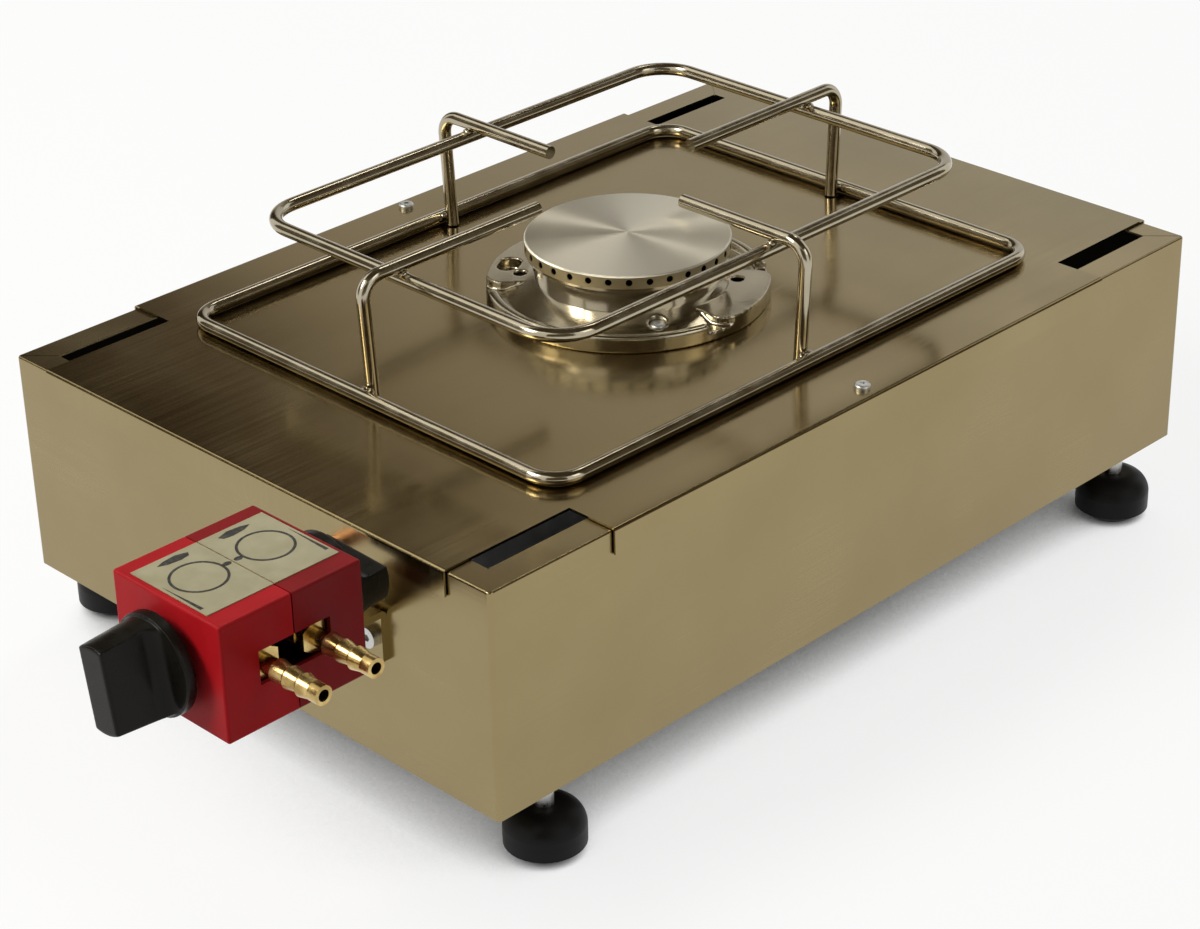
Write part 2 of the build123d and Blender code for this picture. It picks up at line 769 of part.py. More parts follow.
# ---------------------------------------------------------------- outlet elbow
with BuildPart() as outlet_elbow:
    with BuildLine(level(pipe_z)) as elbow_route:
        FilletPolyline(
            (manifold_end_x, block_y),
            (elbow_x, block_y),
            (elbow_x, fitting_y),
            radius=elbow_bend,
        )
    with BuildSketch(facing_right(manifold_end_x, block_y, pipe_z)):
        Circle(fitting_radius)
        Circle(fitting_bore, mode=Mode.SUBTRACT)
    sweep(path=elbow_route.line)
save(outlet_elbow, "outlet_elbow")

# ---------------------------------------------------------------- tap manifold
block_bolt_spots = [
    (bracket_x - block_x, -block_bolt_offset),
    (bracket_x - block_x, block_bolt_offset),
]

with BuildPart() as tap_manifold:
    with BuildSketch(level(manifold_base, manifold_end_x + manifold_width / 2, block_y)):
        Rectangle(manifold_width, manifold_length)
    extrude(amount=manifold_top - manifold_base)
    with BuildSketch(facing_right(manifold_end_x, block_y, pipe_z)):
        Circle(gas_way_radius)
    extrude(amount=manifold_left, mode=Mode.SUBTRACT)
    with BuildSketch(facing_rear(block_x, block_y, pipe_z)):
        Circle(gas_way_radius)
    extrude(amount=feed_offset, both=True, mode=Mode.SUBTRACT)
    with BuildSketch(level(pipe_z, block_x, block_y)):
        with GridLocations(0, 2 * feed_offset, 1, 2):
            Circle(feed_radius)
    extrude(amount=manifold_top - pipe_z, mode=Mode.SUBTRACT)
    with BuildSketch(level(manifold_base, block_x, block_y)):
        with Locations(*block_bolt_spots):
            Circle(bolt_radius + running_clearance)
    extrude(amount=block_bolt_engagement, mode=Mode.SUBTRACT)
save(tap_manifold, "tap_manifold")


# ---------------------------------------------------------------- the two taps
def across_tap(outward, distance):
    """Plane square to a tap's axis, facing outwards, at a distance from the seam."""
    facing = facing_front if outward < 0 else facing_rear
    return facing(block_x, block_y + outward * distance, block_z)


def outlet_plane(outward, x):
    """Plane square to a tap's outlet, facing right."""
    return facing_right(x, block_y + outward * tap_pitch_half, block_z)


def flatted_circle(radius):
    """Round section with one flat, for the spindle and the sockets that it drives."""
    Circle(radius)
    with Locations((0, radius)):
        Rectangle(2 * radius, 2 * spindle_flat, mode=Mode.SUBTRACT)


def tap_cover(outward):
    """Half shell, open at the seam, with a spindle hole in its end wall."""
    half_length = cover_end - seam_gap / 2
    with BuildPart() as cover:
        with BuildSketch(across_tap(outward, seam_gap / 2)):
            Rectangle(block_width, block_height)
        extrude(amount=half_length)
        end_face = cover.faces().sort_by(Axis.Y)[0 if outward < 0 else -1]
        fillet(cover.edges().filter_by(Axis.Y) + end_face.edges(), cover_edge)
        with BuildSketch(across_tap(outward, seam_gap / 2)):
            Rectangle(block_width - 2 * cover_wall, block_height - 2 * cover_wall)
        extrude(amount=half_length - cover_wall, mode=Mode.SUBTRACT)
        with BuildSketch(across_tap(outward, cover_end - cover_wall)):
            Circle(tap_neck_radius + tap_neck_clearance)
        extrude(amount=cover_wall, mode=Mode.SUBTRACT)
        with BuildSketch(facing_right(block_right, block_y, block_z + slot_rise)):
            Rectangle(2 * slot_half_length, slot_height)
        extrude(amount=-cover_wall, mode=Mode.SUBTRACT)
        with BuildSketch(facing_right(block_left, block_y, pipe_z)):
            Circle(fitting_radius + elbow_hole_clearance)
        extrude(amount=cover_wall, mode=Mode.SUBTRACT)
        with BuildSketch(level(block_base, bracket_x, block_y + outward * block_bolt_offset)):
            Circle(bolt_radius + hole_clearance)
        extrude(amount=cover_wall, mode=Mode.SUBTRACT)
    return cover


def legend_plate(outward):
    """Thin plate on top of one half of the block, up to the seam."""
    plate_width = block_width - legend_left - legend_right
    plate_length = cover_end - legend_end - seam_gap / 2
    plate_x = block_left + legend_left + plate_width / 2
    plate_y = block_y + outward * (seam_gap + plate_length) / 2
    with BuildPart() as plate:
        with BuildSketch(level(block_top, plate_x, plate_y)):
            Rectangle(plate_width, plate_length)
        extrude(amount=legend_thickness)
    return plate


def tap_body(outward):
    """Brass body with a foot on the manifold, a neck through the cover and an outlet boss."""
    with BuildPart() as body:
        with BuildSketch(across_tap(outward, tap_seam_gap)):
            Circle(tap_body_radius)
        extrude(amount=tap_body_length)
        with BuildSketch(across_tap(outward, tap_seam_gap)):
            with Locations((0, -tap_foot_drop / 2)):
                Rectangle(tap_foot_width, tap_foot_drop)
        extrude(amount=tap_foot_length)
        with BuildSketch(across_tap(outward, tap_body_end)):
            Circle(tap_neck_radius)
        extrude(amount=cover_end - tap_body_end)
        with BuildSketch(outlet_plane(outward, block_x)):
            Circle(tap_boss_radius)
        extrude(amount=tap_boss_reach)
        with BuildSketch(across_tap(outward, plug_start - running_clearance)):
            Circle(plug_radius + running_clearance)
        extrude(amount=plug_length + 2 * running_clearance, mode=Mode.SUBTRACT)
        with BuildSketch(across_tap(outward, plug_end)):
            Circle(spindle_radius + running_clearance)
        extrude(amount=cover_end - plug_end, mode=Mode.SUBTRACT)
        with BuildSketch(across_tap(outward, tap_seam_gap + chamber_wall)):
            Circle(chamber_radius)
        extrude(amount=plug_start - tap_seam_gap - chamber_wall, mode=Mode.SUBTRACT)
        with BuildSketch(level(manifold_top, block_x, block_y + outward * feed_offset)):
            Circle(feed_radius)
        extrude(amount=tap_foot_drop, mode=Mode.SUBTRACT)
        with BuildSketch(outlet_plane(outward, block_x)):
            Circle(gas_way_radius)
        extrude(amount=tap_boss_reach, mode=Mode.SUBTRACT)
        with BuildSketch(outlet_plane(outward, boss_end_x)):
            Circle(barb_thread_radius + running_clearance)
        extrude(amount=-barb_thread_length, mode=Mode.SUBTRACT)
    return body


def tap_plug(outward):
    """Turning plug: gas enters its inner end and leaves through a hole in its side."""
    socket_depth = spindle_in_plug + push_travel + spindle_spare
    way_depth = tap_pitch_half - plug_start + gas_way_radius
    with BuildPart() as plug:
        with BuildSketch(across_tap(outward, plug_start)):
            Circle(plug_radius)
        extrude(amount=plug_length)
        with BuildSketch(across_tap(outward, plug_start)):
            Circle(gas_way_radius)
        extrude(amount=way_depth, mode=Mode.SUBTRACT)
        with BuildSketch(level(block_z, block_x, block_y + outward * tap_pitch_half)):
            Circle(plug_port_radius)
        extrude(amount=plug_radius, mode=Mode.SUBTRACT)
        with BuildSketch(across_tap(outward, plug_end)):
            flatted_circle(spindle_radius + running_clearance)
        extrude(amount=-socket_depth, mode=Mode.SUBTRACT)
    return plug


def tap_spindle(outward):
    """Flatted rod from the plug's socket to the knob's bore."""
    spindle_start = plug_end - spindle_in_plug
    with BuildPart() as spindle:
        with BuildSketch(across_tap(outward, spindle_start)):
            flatted_circle(spindle_radius)
        extrude(amount=knob_back + knob_bore_depth - spindle_spare - spindle_start)
    return spindle


def tap_knob(outward, turn, depth):
    """Round skirt, hollow behind, and a grip bar that flares out to the skirt."""
    skirt_face = turned(across_tap(outward, knob_back + knob_skirt), turn)
    grip_height = depth - knob_skirt
    with BuildPart() as knob:
        with BuildSketch(half_section(skirt_face)):
            with Locations((0, grip_height / 2)):
                Rectangle(knob_bar, grip_height)
            with Locations((0, knob_scoop / 2)):
                Rectangle(knob_bar + 2 * knob_scoop, knob_scoop)
            with Locations((-knob_bar / 2 - knob_scoop, knob_scoop),
                           (knob_bar / 2 + knob_scoop, knob_scoop)):
                Circle(knob_scoop, mode=Mode.SUBTRACT)
        extrude(amount=knob_radius, both=True)
        with BuildSketch(skirt_face):
            Circle(knob_radius - knob_ledge)
        extrude(amount=grip_height, taper=knob_draft, mode=Mode.INTERSECT)
        end_face = knob.faces().sort_by(Axis.Y)[0 if outward < 0 else -1]
        fillet(end_face.edges(), knob_edge)
        with BuildSketch(across_tap(outward, knob_back)):
            Circle(knob_radius)
        extrude(amount=knob_skirt)
        with BuildSketch(across_tap(outward, knob_back)):
            Circle(knob_radius - knob_wall)
            Circle(knob_hub_radius, mode=Mode.SUBTRACT)
        extrude(amount=knob_recess, mode=Mode.SUBTRACT)
        with BuildSketch(across_tap(outward, knob_back)):
            flatted_circle(spindle_radius + running_clearance)
        extrude(amount=knob_bore_depth, mode=Mode.SUBTRACT)
    return knob


def hose_barb(outward):
    """Threaded hexagon nipple with ringed stem and a plain nose."""
    root = outlet_plane(outward, boss_end_x)
    tip = block_right + barb_reach - boss_end_x
    with BuildPart() as barb:
        with BuildSketch(root.offset(-barb_thread_length)):
            Circle(barb_thread_radius)
        extrude(amount=barb_thread_length)
        with BuildSketch(root):
            hexagon(barb_hex_flats, rotation=30)
        extrude(amount=barb_hex_length)
        with BuildSketch(root.offset(barb_hex_length)):
            Circle(barb_stem_radius)
        extrude(amount=tip - barb_nose_length - barb_hex_length)
        for ring in range(barb_rings):
            ring_end = tip - barb_nose_length - ring * barb_ring_pitch
            turned_profile(root.offset(ring_end - barb_ring_length), [
                (0, 0),
                (barb_crest_radius, 0),
                (barb_stem_radius, barb_ring_length),
                (0, barb_ring_length),
            ])
        with BuildSketch(root.offset(tip - barb_nose_length)):
            Circle(barb_nose_radius)
        extrude(amount=barb_nose_length)
        with BuildSketch(root.offset(-barb_thread_length)):
            Circle(gas_way_radius)
        extrude(amount=barb_thread_length + tip, mode=Mode.SUBTRACT)
    return barb


for side_name, outward in (("front", -1), ("rear", 1)):
    save(tap_cover(outward), f"{side_name}_tap_cover")
    save(legend_plate(outward), f"{side_name}_legend_plate")
    save(tap_body(outward), f"{side_name}_tap_body")
    save(tap_plug(outward), f"{side_name}_tap_plug")
    save(tap_spindle(outward), f"{side_name}_spindle")
    save(hose_barb(outward), f"{side_name}_hose_barb")

save(tap_knob(-1, front_knob_turn, front_knob_depth), "front_knob")
save(tap_knob(1, rear_knob_turn, rear_knob_depth), "rear_knob")

# ---------------------------------------------------------------- tap bracket
strap_start = block_y - bracket_front
strap_length = front_wall_y - strap_start
flange_start = front_wall_y - bracket_thickness

with BuildPart() as tap_bracket:
    with BuildSketch(level(bracket_base, bracket_x, strap_start + strap_length / 2)):
        Rectangle(bracket_width, strap_length)
    extrude(amount=bracket_thickness)
    with BuildSketch(level(bracket_base, bracket_x, front_wall_y - bracket_thickness / 2)):
        Rectangle(bracket_width, bracket_thickness)
    extrude(amount=bracket_thickness - bracket_flange)
    bend_edge = tap_bracket.edges().filter_by(Axis.X).sort_by(Axis.Z)[-2:].sort_by(Axis.Y)[-1]
    fillet(bend_edge, bracket_bend)
    with BuildSketch(facing_front(bracket_x, front_wall_y, bracket_screw_z)):
        with GridLocations(bracket_screw_pitch, 0, 2, 1):
            Circle(bolt_radius + hole_clearance)
    extrude(amount=bracket_thickness, mode=Mode.SUBTRACT)
    with BuildSketch(level(bracket_base, block_x, block_y)):
        with Locations(*block_bolt_spots):
            Circle(bolt_radius + hole_clearance)
    extrude(amount=bracket_thickness, mode=Mode.SUBTRACT)
save(tap_bracket, "tap_bracket")

# ---------------------------------------------------------------- bracket screws
bracket_face = facing_front(bracket_x, flange_start, bracket_screw_z)
wall_inside = facing_front(bracket_x, front_wall_y + sheet, bracket_screw_z)
bracket_screw_length = bracket_thickness + sheet + bracket_nut_height + bracket_screw_end

with BuildPart() as bracket_screws:
    with BuildSketch(bracket_face):
        with GridLocations(bracket_screw_pitch, 0, 2, 1):
            Circle(bolt_head_radius)
    extrude(amount=bolt_head_height)
    with BuildSketch(bracket_face):
        with GridLocations(bracket_screw_pitch, 0, 2, 1):
            Circle(bolt_radius)
    extrude(amount=-bracket_screw_length)
    with BuildSketch(bracket_face.offset(bolt_head_height)):
        with GridLocations(bracket_screw_pitch, 0, 2, 1):
            hexagon(bolt_recess)
    extrude(amount=-bolt_head_height / 2, mode=Mode.SUBTRACT)
save(bracket_screws, "bracket_screws")

# ---------------------------------------------------------------- bracket nuts
with BuildPart() as bracket_nuts:
    with BuildSketch(wall_inside):
        with GridLocations(bracket_screw_pitch, 0, 2, 1):
            hexagon(bracket_nut_flats)
            Circle(bolt_radius + running_clearance, mode=Mode.SUBTRACT)
    extrude(amount=-bracket_nut_height)
save(bracket_nuts, "bracket_nuts")

# ---------------------------------------------------------------- block bolts
under_bracket = level(bracket_base, block_x, block_y)
block_bolt_length = bracket_thickness + cover_wall + block_bolt_engagement

with BuildPart() as block_bolts:
    with BuildSketch(under_bracket):
        with Locations(*block_bolt_spots):
            Circle(bolt_head_radius)
    extrude(amount=-bolt_head_height)
    with BuildSketch(under_bracket):
        with Locations(*block_bolt_spots):
            Circle(bolt_radius)
    extrude(amount=block_bolt_length)
    with BuildSketch(under_bracket.offset(-bolt_head_height)):
        with Locations(*block_bolt_spots):
            hexagon(bolt_recess)
    extrude(amount=bolt_head_height / 2, mode=Mode.SUBTRACT)
save(block_bolts, "block_bolts")


# ---------------------------------------------------------------- feet
def foot_pad(x, y):
    """Moulded rubber foot round the lower end of its stud."""
    socket_base = foot_height - stud_in_foot
    base = level(0, x, y)
    shoulder = (foot_radius - running_clearance, foot_shoulder_height)
    neck = (foot_neck_radius, foot_height)
    with BuildPart() as pad:
        with BuildSketch(half_section(base)) as profile:
            with BuildLine():
                Polyline(
                    neck,
                    (stud_radius + running_clearance, foot_height),
                    (stud_radius + running_clearance, socket_base),
                    (0, socket_base),
                    (0, 0),
                    (foot_base_radius, 0),
                    (foot_radius - running_clearance, foot_chamfer_height),
                    (foot_radius, foot_belt_height),
                    shoulder,
                )
                ThreePointArc(shoulder, (foot_dome_radius, foot_dome_height), neck)
            make_face()
        revolve(profile.sketch, axis=Axis(base.origin, base.z_dir))
    return pad


def foot_stud(x, y):
    """Threaded stud from inside the foot up through the weld nut."""
    stud_base = foot_height - stud_in_foot
    stud_top = floor_gap + sheet + foot_nut_height + stud_above_nut
    with BuildPart() as stud:
        with BuildSketch(level(stud_base, x, y)):
            Circle(stud_radius)
        extrude(amount=stud_top - stud_base)
    return stud


for end_name, foot_end in (("front", -1), ("rear", 1)):
    for side_name, foot_side in (("left", -1), ("right", 1)):
        foot_place = (foot_side * foot_x, foot_end * foot_y)
        save(foot_pad(*foot_place), f"{end_name}_{side_name}_foot_pad")
        save(foot_stud(*foot_place), f"{end_name}_{side_name}_foot_stud")

# ---------------------------------------------------------------- foot nuts
with BuildPart() as foot_nuts:
    with BuildSketch(level(floor_gap + sheet)):
        with GridLocations(2 * foot_x, 2 * foot_y, 2, 2):
            hexagon(foot_nut_flats, rotation=30)
            Circle(stud_radius + running_clearance, mode=Mode.SUBTRACT)
    extrude(amount=foot_nut_height)
save(foot_nuts, "foot_nuts")
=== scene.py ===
# %% [markdown]
# # Dressing a portable gas range
#
# The solid parts of this range come ready made, each in its true place. This lesson gives
# them their finishes, swaps a few for softer-edged copies, adds the small things that only
# the eye needs, and lights the whole for one photograph-like view.
#
# Loading comes first, because every later step asks the loaded parts where they are.

# %% Load the solid parts
import math

import bmesh
import bpy
from mathutils import Matrix, Vector


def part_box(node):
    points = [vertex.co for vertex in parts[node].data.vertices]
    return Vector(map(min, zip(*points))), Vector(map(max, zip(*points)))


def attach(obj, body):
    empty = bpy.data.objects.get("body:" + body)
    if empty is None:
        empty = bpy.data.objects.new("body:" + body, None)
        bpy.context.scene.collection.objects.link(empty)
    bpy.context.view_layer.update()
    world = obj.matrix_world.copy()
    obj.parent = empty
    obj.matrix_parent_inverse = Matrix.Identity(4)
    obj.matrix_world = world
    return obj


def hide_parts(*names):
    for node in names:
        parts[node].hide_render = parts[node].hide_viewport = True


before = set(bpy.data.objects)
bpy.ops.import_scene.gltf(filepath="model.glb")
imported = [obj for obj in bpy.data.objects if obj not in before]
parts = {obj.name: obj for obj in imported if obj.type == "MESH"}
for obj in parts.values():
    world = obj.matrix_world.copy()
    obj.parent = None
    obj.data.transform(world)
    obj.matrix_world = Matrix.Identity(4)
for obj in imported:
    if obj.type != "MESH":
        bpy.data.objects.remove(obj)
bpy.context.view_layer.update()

# %% [markdown]
# ## The camera
#
# The photograph was taken from the front right corner, a little above, with a long lens.
# A camera can be aimed by angles or by its three own directions. Directions are used here,
# because the slight tilt of the hand-held picture is then part of them.

# %% Set up the camera
camera_place = Vector((0.8675, -0.8036, 0.7062))
camera_right = Vector((0.71004, 0.70386, -0.02039))
camera_down = Vector((0.31920, -0.34754, -0.88166))
camera_ahead = Vector((-0.62766, 0.61951, -0.47144))
focal_length = 90.14
film_width = 36.0

lens = bpy.data.cameras.new("photograph")
lens.lens = focal_length
lens.sensor_width = film_width
camera = bpy.data.objects.new("photograph", lens)
bpy.context.scene.collection.objects.link(camera)
aim = Matrix((camera_right, -camera_down, -camera_ahead)).transposed()
camera.matrix_world = Matrix.Translation(camera_place) @ aim.to_4x4()
bpy.context.scene.camera = camera
print("camera", tuple(round(value, 3) for value in camera_place), "lens", lens.lens)

# %% [markdown]
# ## Small helpers for finishes
#
# A finish is a node tree. Nearly all of them here need the same few things: a place to read
# the surface from, a noise, a blend between two values and a bump. Wrapping each in a short
# function keeps the later cells about the finish and not about the wiring.

# %% Helpers for node trees
noise_low, noise_high = 0.3, 0.7  # a noise seldom leaves this span
mask_edge = 0.0001  # half the width of a mask's soft edge


class Finish:
    """A new material with its shader at hand."""

    def __init__(self, name, colour, metallic, roughness, **sockets):
        self.material = bpy.data.materials.new(name)
        self.material.use_nodes = True
        self.nodes = self.material.node_tree.nodes
        self.links = self.material.node_tree.links
        self.shader = self.nodes["Principled BSDF"]
        self.set("Base Color", (*colour, 1.0))
        self.set("Metallic", metallic)
        self.set("Roughness", roughness)
        for socket, value in sockets.items():
            self.set(socket.replace("_", " ").title().replace("Ior", "IOR"), value)
        self.material.diffuse_color = (*colour, 1.0)

    def set(self, socket, value):
        """A value that is the same all over the surface."""
        self.shader.inputs[socket].default_value = value

    def feed(self, socket, output):
        """A value that varies over the surface."""
        self.links.new(output, self.shader.inputs[socket])

    def surface(self, stretch=(1.0, 1.0, 1.0), centre=(0.0, 0.0, 0.0)):
        """Object coordinates, measured from a centre and stretched along the axes."""
        coordinates = self.nodes.new("ShaderNodeTexCoord")
        mapping = self.nodes.new("ShaderNodeMapping")
        mapping.inputs["Scale"].default_value = stretch
        mapping.inputs["Location"].default_value = [-c * s for c, s in zip(centre, stretch)]
        self.links.new(coordinates.outputs["Object"], mapping.inputs["Vector"])
        return mapping.outputs["Vector"]

    def noise(self, vector, scale, detail=3.0):
        """Soft random shades; scale is how many of them go into a metre."""
        noise = self.nodes.new("ShaderNodeTexNoise")
        noise.inputs["Scale"].default_value = scale
        noise.inputs["Detail"].default_value = detail
        self.links.new(vector, noise.inputs["Vector"])
        return noise.outputs["Fac"]

    def rescaled(self, value, low, high, start=0.0, end=1.0):
        """Bring the span low..high of a value to start..end, and hold it there outside."""
        span = self.nodes.new("ShaderNodeMapRange")
        for socket, number in (("From Min", low), ("From Max", high),
                               ("To Min", start), ("To Max", end)):
            span.inputs[socket].default_value = number
        self.links.new(value, span.inputs["Value"])
        return span.outputs["Result"]

    def varied(self, noise, start, end):
        """Bring a noise to the span start..end."""
        return self.rescaled(noise, noise_low, noise_high, start, end)

    def combine(self, first, second, operation="ADD"):
        """Two values, or a value and a number, made one."""
        node = self.nodes.new("ShaderNodeMath")
        node.operation = operation
        for index, value in enumerate((first, second)):
            if isinstance(value, float):
                node.inputs[index].default_value = value
            else:
                self.links.new(value, node.inputs[index])
        return node.outputs["Value"]

    def blend(self, factor, first, second):
        """Colour that goes from first to second as the factor goes from 0 to 1."""
        mix = self.nodes.new("ShaderNodeMix")
        mix.data_type = "RGBA"
        self.links.new(factor, mix.inputs["Factor"])
        for index, colour in ((6, first), (7, second)):  # the node's two colour sockets
            if isinstance(colour, tuple):
                mix.inputs[index].default_value = (*colour, 1.0)
            else:
                self.links.new(colour, mix.inputs[index])
        return mix.outputs[2]

    def bump(self, height, depth, strength=1.0, below=None):
        """Relief of a depth in metres, on top of an earlier relief if one is given."""
        bump = self.nodes.new("ShaderNodeBump")
        bump.inputs["Strength"].default_value = strength
        bump.inputs["Distance"].default_value = depth
        self.links.new(height, bump.inputs["Height"])
        if below is not None:
            self.links.new(below, bump.inputs["Normal"])
        return bump.outputs["Normal"]

    def box_skin(self, low, high, depth):
        """1 on the outer skin of a box, 0 deeper inside it than a depth."""
        offset = self.surface(centre=(low + high) / 2)
        size = self.nodes.new("ShaderNodeVectorMath")
        size.operation = "ABSOLUTE"
        self.links.new(offset, size.inputs[0])
        axes = self.nodes.new("ShaderNodeSeparateXYZ")
        self.links.new(size.outputs["Vector"], axes.inputs["Vector"])
        over = [self.combine(axes.outputs[index], (high[index] - low[index]) / 2 - depth,
                             "SUBTRACT")
                for index in range(3)]
        furthest = self.combine(self.combine(over[0], over[1], "MAXIMUM"), over[2], "MAXIMUM")
        return self.rescaled(furthest, -mask_edge, mask_edge)

    def from_axis(self, middle):
        """Distance from an upright axis."""
        flat = self.surface((1.0, 1.0, 0.0), (middle.x, middle.y, 0.0))
        distance = self.nodes.new("ShaderNodeVectorMath")
        distance.operation = "LENGTH"
        self.links.new(flat, distance.inputs[0])
        return distance.outputs["Value"]

    def round_skin(self, low, high, side_depth, top_depth):
        """1 on the outer skin of an upright turned part, 0 in its holes and its hollow."""
        height = self.nodes.new("ShaderNodeSeparateXYZ")
        self.links.new(self.surface(), height.inputs["Vector"])
        over_side = self.combine(self.from_axis((low + high) / 2),
                                 (high.x - low.x) / 2 - side_depth, "SUBTRACT")
        over_top = self.combine(height.outputs["Z"], high.z - top_depth, "SUBTRACT")
        furthest = self.combine(over_side, over_top, "MAXIMUM")
        return self.rescaled(furthest, -mask_edge, mask_edge)


def dress(finish, *names):
    """Put a finish on loaded parts."""
    for name in names:
        for slot in parts[name].material_slots:
            slot.material = finish.material
    print(finish.material.name, "on", ", ".join(names))


def placed(name, data):
    """A new object in the scene, from a mesh or a lamp."""
    piece = bpy.data.objects.new(name, data)
    bpy.context.scene.collection.objects.link(piece)
    return piece


sides = ("front", "rear")
feet = tuple(f"{end}_{side}" for end in sides for side in ("left", "right"))
print("helpers ready for", len(feet), "feet and", len(sides), "taps")

# %% [markdown]
# ## Stainless sheet
#
# Casing, lid and the bracket of the tap block are folded from thin stainless sheet with a
# satin grain. The grain could be an anisotropic shader, but thousands of fine scratches also
# show as streaks of slightly different roughness, and that reads better close up. Three
# noises are used: long thin ones for the grain, soft large ones for the waviness of thin
# sheet, and blotches for the handling marks that such a surface always carries. The
# scratches run from front to rear on the lid and level round the casing.
#
# The inner faces never see a polisher, so they are rougher, and their colour is painted
# shade, near black, for the inside that lies in shadow behind the vent slots. A mask tells
# them from the outer skin by how deep they lie in the part's box.

# %% Stainless sheet
# both steel colours carry a brown tint that is a painted reflection of warm surroundings; the
# grain moves between them
steel_light = (0.345, 0.275, 0.14)
steel_dark = (0.3, 0.235, 0.116)
inner_painted_shade = (0.014, 0.012, 0.009)
inner_roughness = 0.5
stain_roughness = 0.07
sheet_skin = 0.00075
wave_depth = 0.001
scratch_depth = 0.00001


def stainless_sheet(name, node, grain, gloss, dull):
    """Satin sheet; grain is how many scratches go into a metre along x, y and z."""
    finish = Finish(name, steel_light, metallic=1.0, roughness=gloss)
    grain_lines = finish.noise(finish.surface(stretch=grain), scale=1.0, detail=4.0)
    blotches = finish.noise(finish.surface(), scale=14.0, detail=5.0)
    waves = finish.noise(finish.surface(), scale=5.0, detail=1.0)
    outer = finish.box_skin(*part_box(node), sheet_skin)

    shade = finish.combine(finish.varied(grain_lines, start=0.5, end=1.0),
                           finish.rescaled(blotches, low=0.35, high=0.7), "MULTIPLY")
    steel = finish.blend(shade, steel_dark, steel_light)
    # painted shade: the inner faces get a near-black colour, the outer skin the steel
    finish.feed("Base Color", finish.blend(outer, inner_painted_shade, steel))

    stains = finish.rescaled(blotches, low=0.45, high=0.75, start=0.0, end=stain_roughness)
    skin_roughness = finish.combine(finish.varied(grain_lines, gloss, dull), stains)
    least_roughness = finish.rescaled(outer, 0.0, 1.0, start=inner_roughness, end=0.0)
    finish.feed("Roughness", finish.combine(skin_roughness, least_roughness, "MAXIMUM"))

    sheet_waves = finish.bump(waves, wave_depth)
    scratches = finish.bump(grain_lines, scratch_depth, strength=0.3, below=sheet_waves)
    finish.feed("Normal", scratches)
    return finish


lid_steel = stainless_sheet("stainless lid", "lid",
                            grain=(900.0, 12.0, 12.0), gloss=0.12, dull=0.18)
casing_steel = stainless_sheet("stainless casing", "casing",
                               grain=(12.0, 12.0, 900.0), gloss=0.19, dull=0.25)
dress(lid_steel, "lid")
dress(casing_steel, "casing", "tap_bracket")

# %% [markdown]
# ## Bright wire
#
# The pan support is bright drawn wire. Round and nearly mirror-like, it shows a thin bright
# line and dark edges wherever it runs. Only faint clouds break the mirror.

# %% Bright wire
wire_finish = Finish("bright wire", (0.44, 0.39, 0.28), metallic=1.0, roughness=0.13)
wire_cloud = wire_finish.noise(wire_finish.surface(), scale=90.0)
wire_colour = wire_finish.blend(wire_cloud, (0.36, 0.31, 0.21), (0.52, 0.47, 0.36))
wire_finish.feed("Base Color", wire_colour)
wire_finish.feed("Roughness", wire_finish.varied(wire_cloud, start=0.09, end=0.2))
wire_finish.feed("Normal", wire_finish.bump(wire_cloud, depth=0.00004, strength=0.4))
dress(wire_finish, "support_lower_loop", "support_upper_loop",
      *(f"support_finger_{side}" for side in ("front", "rear", "left", "right")))

# %% [markdown]
# ## Spun cap and collar
#
# The burner's cap is turned on a lathe, so its top shows fans of light that meet in the
# middle. That is what an anisotropic shader with a radial tangent draws. Fine rings in the
# roughness and the relief add the tool marks. The polished collar under it is the same
# metal, smoother and with wider marks.
#
# Inside the cap and its ports everything is painted near black, as painted shade for the
# hollows that light hardly reaches. As on the sheet, a mask finds those faces.

# %% Spun cap and collar
cap_low, cap_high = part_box("burner_cap")
cap_middle = (cap_low + cap_high) / 2
cap_inside_painted_shade = (0.01, 0.009, 0.008)
turning_depth = 0.00001


def spun_metal(name, colour, roughness, anisotropy, ring_width):
    """Metal turned about the burner's axis."""
    finish = Finish(name, colour, metallic=1.0, roughness=roughness, anisotropic=anisotropy)
    tangent = finish.nodes.new("ShaderNodeTangent")
    tangent.direction_type = "RADIAL"
    tangent.axis = "Z"
    finish.feed("Tangent", tangent.outputs["Tangent"])
    line = finish.nodes.new("ShaderNodeCombineXYZ")
    finish.links.new(finish.from_axis(cap_middle), line.inputs["X"])
    tool_marks = finish.noise(line.outputs["Vector"], scale=1.0 / ring_width, detail=2.0)
    darker = tuple(value * 0.93 for value in colour)
    turned = finish.blend(finish.rescaled(tool_marks, low=0.35, high=0.65), darker, colour)
    finish.feed("Base Color", turned)
    wear = finish.varied(tool_marks, start=roughness * 0.9, end=roughness * 1.12)
    finish.feed("Roughness", wear)
    finish.feed("Normal", finish.bump(tool_marks, turning_depth, strength=0.5))
    return finish, turned


cap_finish, cap_turned = spun_metal("spun aluminium", (0.68, 0.64, 0.52),
                                    roughness=0.36, anisotropy=0.9, ring_width=0.0005)
cap_outside = cap_finish.round_skin(cap_low, cap_high, side_depth=0.0005, top_depth=0.0019)
# painted shade: the cap's inside and its ports get a near-black colour, its outer skin the
# turned metal
cap_finish.feed("Base Color", cap_finish.blend(cap_outside, cap_inside_painted_shade, cap_turned))
collar_finish, _ = spun_metal("polished aluminium", (0.8, 0.77, 0.7),
                              roughness=0.1, anisotropy=0.3, ring_width=0.002)
dress(cap_finish, "burner_cap")
dress(collar_finish, "burner_collar")

# %% [markdown]
# ## Cast aluminium
#
# The burner base is a casting that was tumbled and lightly polished. It keeps a fine, lumpy
# skin, so its relief is a soft noise, and the polish varies from spot to spot.

